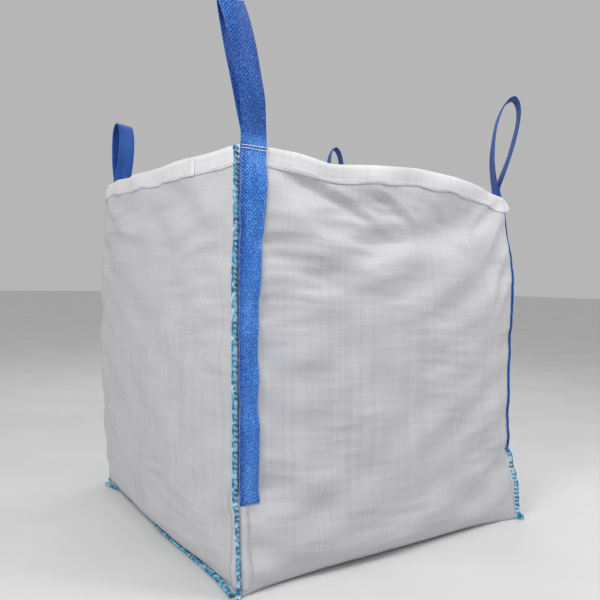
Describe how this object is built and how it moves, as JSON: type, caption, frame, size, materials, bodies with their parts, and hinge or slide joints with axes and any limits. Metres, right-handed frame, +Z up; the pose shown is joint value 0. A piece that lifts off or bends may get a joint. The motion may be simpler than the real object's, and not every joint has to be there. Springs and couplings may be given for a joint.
{
  "type": "bulk bag",
  "caption": "Square fabric bulk bag with an open top, a flat base and a blue webbing lifting loop that folds at each top corner.",
  "frame": {"origin": "centre of the square base, at the level the bag stands on", "axes": "+Z up, from the base to the loops; the front and the rear face look along -Y and +Y, the two side panels along -X and +X"},
  "size_m": [0.9749, 0.9779, 1.2907],
  "materials": {
    "woven_polypropylene": "woven tape fabric, slightly glossy",
    "polypropylene_webbing": "twill woven webbing",
    "overlock_thread": "multifilament thread",
    "white_sewing_thread": "multifilament thread"
  },
  "bodies": {
    "bag": {"body_panel_front_base_rear": "woven_polypropylene", "bottom_overlock_thread_left": "overlock_thread", "bottom_overlock_thread_right": "overlock_thread", "bottom_seam_allowance_left": "woven_polypropylene", "bottom_seam_allowance_right": "woven_polypropylene", "corner_overlock_thread_front_left": "overlock_thread", "corner_overlock_thread_front_right": "overlock_thread", "corner_overlock_thread_rear_left": "overlock_thread", "corner_overlock_thread_rear_right": "overlock_thread", "corner_seam_allowance_front_left": "woven_polypropylene", "corner_seam_allowance_front_right": "woven_polypropylene", "corner_seam_allowance_rear_left": "woven_polypropylene", "corner_seam_allowance_rear_right": "woven_polypropylene", "hem_stitch_line_front": "white_sewing_thread", "hem_stitch_line_left": "white_sewing_thread", "hem_stitch_line_rear": "white_sewing_thread", "hem_stitch_line_right": "white_sewing_thread", "rim_hem_front": "woven_polypropylene", "rim_hem_left": "woven_polypropylene", "rim_hem_rear": "woven_polypropylene", "rim_hem_right": "woven_polypropylene", "rim_tack_stitching_front_left": "white_sewing_thread", "rim_tack_stitching_front_right": "white_sewing_thread", "rim_tack_stitching_rear_left": "white_sewing_thread", "rim_tack_stitching_rear_right": "white_sewing_thread", "side_panel_left": "woven_polypropylene", "side_panel_right": "woven_polypropylene", "strap_edge_stitching_front_left": "white_sewing_thread", "strap_edge_stitching_front_right": "white_sewing_thread", "strap_edge_stitching_rear_left": "white_sewing_thread", "strap_edge_stitching_rear_right": "white_sewing_thread", "strap_outer_leg_front_left": "polypropylene_webbing", "strap_outer_leg_front_right": "polypropylene_webbing", "strap_outer_leg_rear_left": "polypropylene_webbing", "strap_outer_leg_rear_right": "polypropylene_webbing", "strap_under_leg_front_left": "polypropylene_webbing", "strap_under_leg_front_right": "polypropylene_webbing", "strap_under_leg_rear_left": "polypropylene_webbing", "strap_under_leg_rear_right": "polypropylene_webbing", "thread_knot_front_left": "overlock_thread", "thread_knot_front_right": "overlock_thread", "thread_knot_rear_left": "overlock_thread", "thread_knot_rear_right": "overlock_thread"},
    "loop_front_left": {"lift_loop_front_left": "polypropylene_webbing"},
    "loop_rear_left": {"lift_loop_rear_left": "polypropylene_webbing"},
    "loop_front_right": {"lift_loop_front_right": "polypropylene_webbing"},
    "loop_rear_right": {"lift_loop_rear_right": "polypropylene_webbing"}
  },
  "joints": [
    {"name": "loop_front_left_fold", "type": "hinge", "parent": "bag", "child": "loop_front_left", "pos_m": [-0.416, -0.45515, 0.97403], "axis": [1, 0, 0], "range_deg": [-75, 150]},
    {"name": "loop_rear_left_fold", "type": "hinge", "parent": "bag", "child": "loop_rear_left", "pos_m": [-0.416, 0.45515, 0.98405], "axis": [-1, 0, 0], "range_deg": [-75, 150]},
    {"name": "loop_front_right_fold", "type": "hinge", "parent": "bag", "child": "loop_front_right", "pos_m": [0.45515, -0.416, 0.94423], "axis": [0, 1, 0], "range_deg": [-75, 150]},
    {"name": "loop_rear_right_fold", "type": "hinge", "parent": "bag", "child": "loop_rear_right", "pos_m": [0.45515, 0.416, 0.96009], "axis": [0, 1, 0], "range_deg": [-75, 150]}
  ]
}
